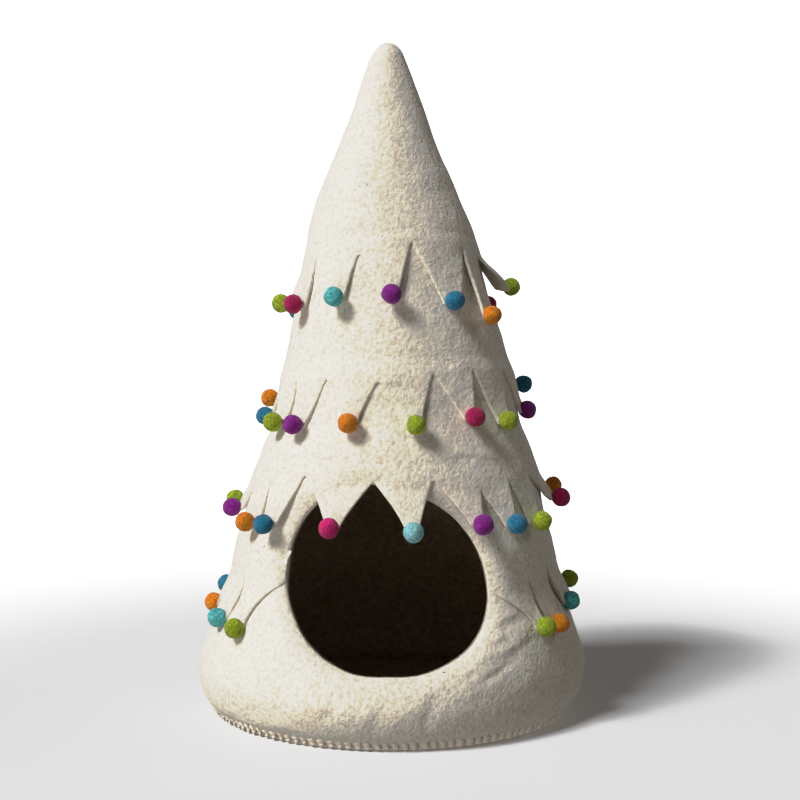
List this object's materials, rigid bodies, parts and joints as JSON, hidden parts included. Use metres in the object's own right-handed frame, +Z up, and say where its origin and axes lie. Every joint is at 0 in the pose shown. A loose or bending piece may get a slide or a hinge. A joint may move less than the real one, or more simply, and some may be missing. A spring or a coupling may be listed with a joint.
{
  "type": "felt cat cave",
  "caption": "Tall hollow felt cone for a cat to sleep in, with a round entrance, zigzag felt collars with coloured felt balls, and a sewn flat felt base.",
  "frame": {"origin": "middle of the base disc's underside, on the floor", "axes": "+Z up to the tip; the entrance faces -Y; +X is to the right seen from the front"},
  "size_m": [0.4332, 0.4332, 0.736],
  "materials": {
    "felt_cream": "matted wool felt",
    "felt_green": "matted wool felt",
    "felt_crimson": "matted wool felt",
    "felt_teal": "matted wool felt",
    "felt_purple": "matted wool felt",
    "felt_blue": "matted wool felt",
    "felt_orange": "matted wool felt",
    "felt_aqua": "matted wool felt",
    "felt_pink": "matted wool felt"
  },
  "bodies": {
    "root": {"felt_wall": "felt_cream", "base_disc": "felt_cream", "collar_1": "felt_cream", "collar_2": "felt_cream", "collar_3": "felt_cream", "collar_4": "felt_cream", "ball_1_01": "felt_green", "ball_1_02": "felt_crimson", "ball_1_03": "felt_teal", "ball_1_04": "felt_purple", "ball_1_05": "felt_blue", "ball_1_06": "felt_orange", "ball_1_07": "felt_green", "ball_1_08": "felt_crimson", "ball_1_09": "felt_teal", "ball_1_10": "felt_purple", "ball_1_11": "felt_orange", "ball_1_12": "felt_blue", "ball_2_01": "felt_orange", "ball_2_02": "felt_blue", "ball_2_03": "felt_green", "ball_2_04": "felt_purple", "ball_2_05": "felt_orange", "ball_2_06": "felt_green", "ball_2_07": "felt_crimson", "ball_2_08": "felt_green", "ball_2_09": "felt_purple", "ball_2_10": "felt_blue", "ball_2_11": "felt_orange", "ball_2_12": "felt_teal", "ball_2_13": "felt_crimson", "ball_2_14": "felt_purple", "ball_3_01": "felt_green", "ball_3_02": "felt_purple", "ball_3_03": "felt_orange", "ball_3_04": "felt_blue", "ball_3_05": "felt_pink", "ball_3_06": "felt_aqua", "ball_3_07": "felt_purple", "ball_3_08": "felt_blue", "ball_3_09": "felt_green", "ball_3_10": "felt_crimson", "ball_3_11": "felt_orange", "ball_3_12": "felt_aqua", "ball_3_13": "felt_green", "ball_3_14": "felt_purple", "ball_3_15": "felt_pink", "ball_4_01": "felt_green", "ball_4_02": "felt_orange", "ball_4_03": "felt_teal", "ball_4_04": "felt_green", "ball_4_05": "felt_crimson", "ball_4_06": "felt_blue", "ball_4_07": "felt_orange", "ball_4_08": "felt_purple", "ball_4_09": "felt_blue", "ball_4_10": "felt_orange", "ball_4_11": "felt_teal", "ball_4_12": "felt_green"}
  },
  "joints": []
}
